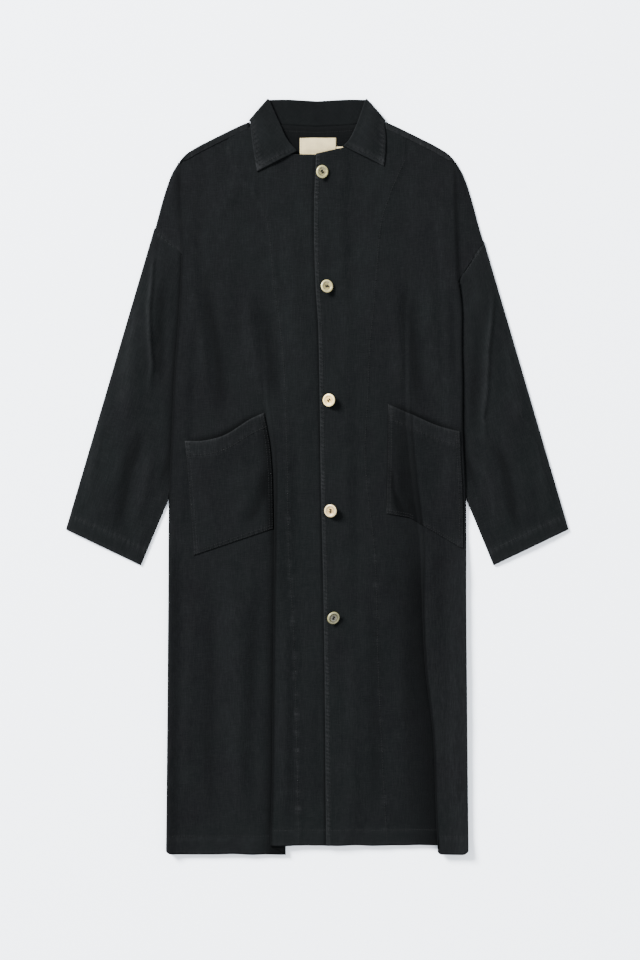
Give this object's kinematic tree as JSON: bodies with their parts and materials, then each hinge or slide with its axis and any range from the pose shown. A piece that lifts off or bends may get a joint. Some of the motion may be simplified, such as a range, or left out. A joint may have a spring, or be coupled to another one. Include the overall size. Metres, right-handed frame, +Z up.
{
  "type": "linen coat",
  "caption": "Loose single-breasted linen coat with turn-down collar, dropped shoulders and slanted patch pockets, buttoned and laid flat on its back.",
  "frame": {"origin": "middle of the coat's outline on the surface it lies on", "axes": "+Y towards the collar, +X towards the wearer's left, +Z up from the surface"},
  "size_m": [0.779, 1.1694, 0.0165],
  "materials": {
    "linen": "matt garment-dyed linen",
    "tape": "woven cotton tape",
    "button": "satin shell"
  },
  "bodies": {
    "root": {"back": "linen", "front_right": "linen", "front_left": "linen", "sleeve_right": "linen", "sleeve_left": "linen", "collar": "linen", "pocket_right": "linen", "pocket_left": "linen", "label": "tape", "label_tab": "tape", "button_1": "button", "button_2": "button", "button_3": "button", "button_4": "button", "button_5": "button"}
  },
  "joints": []
}
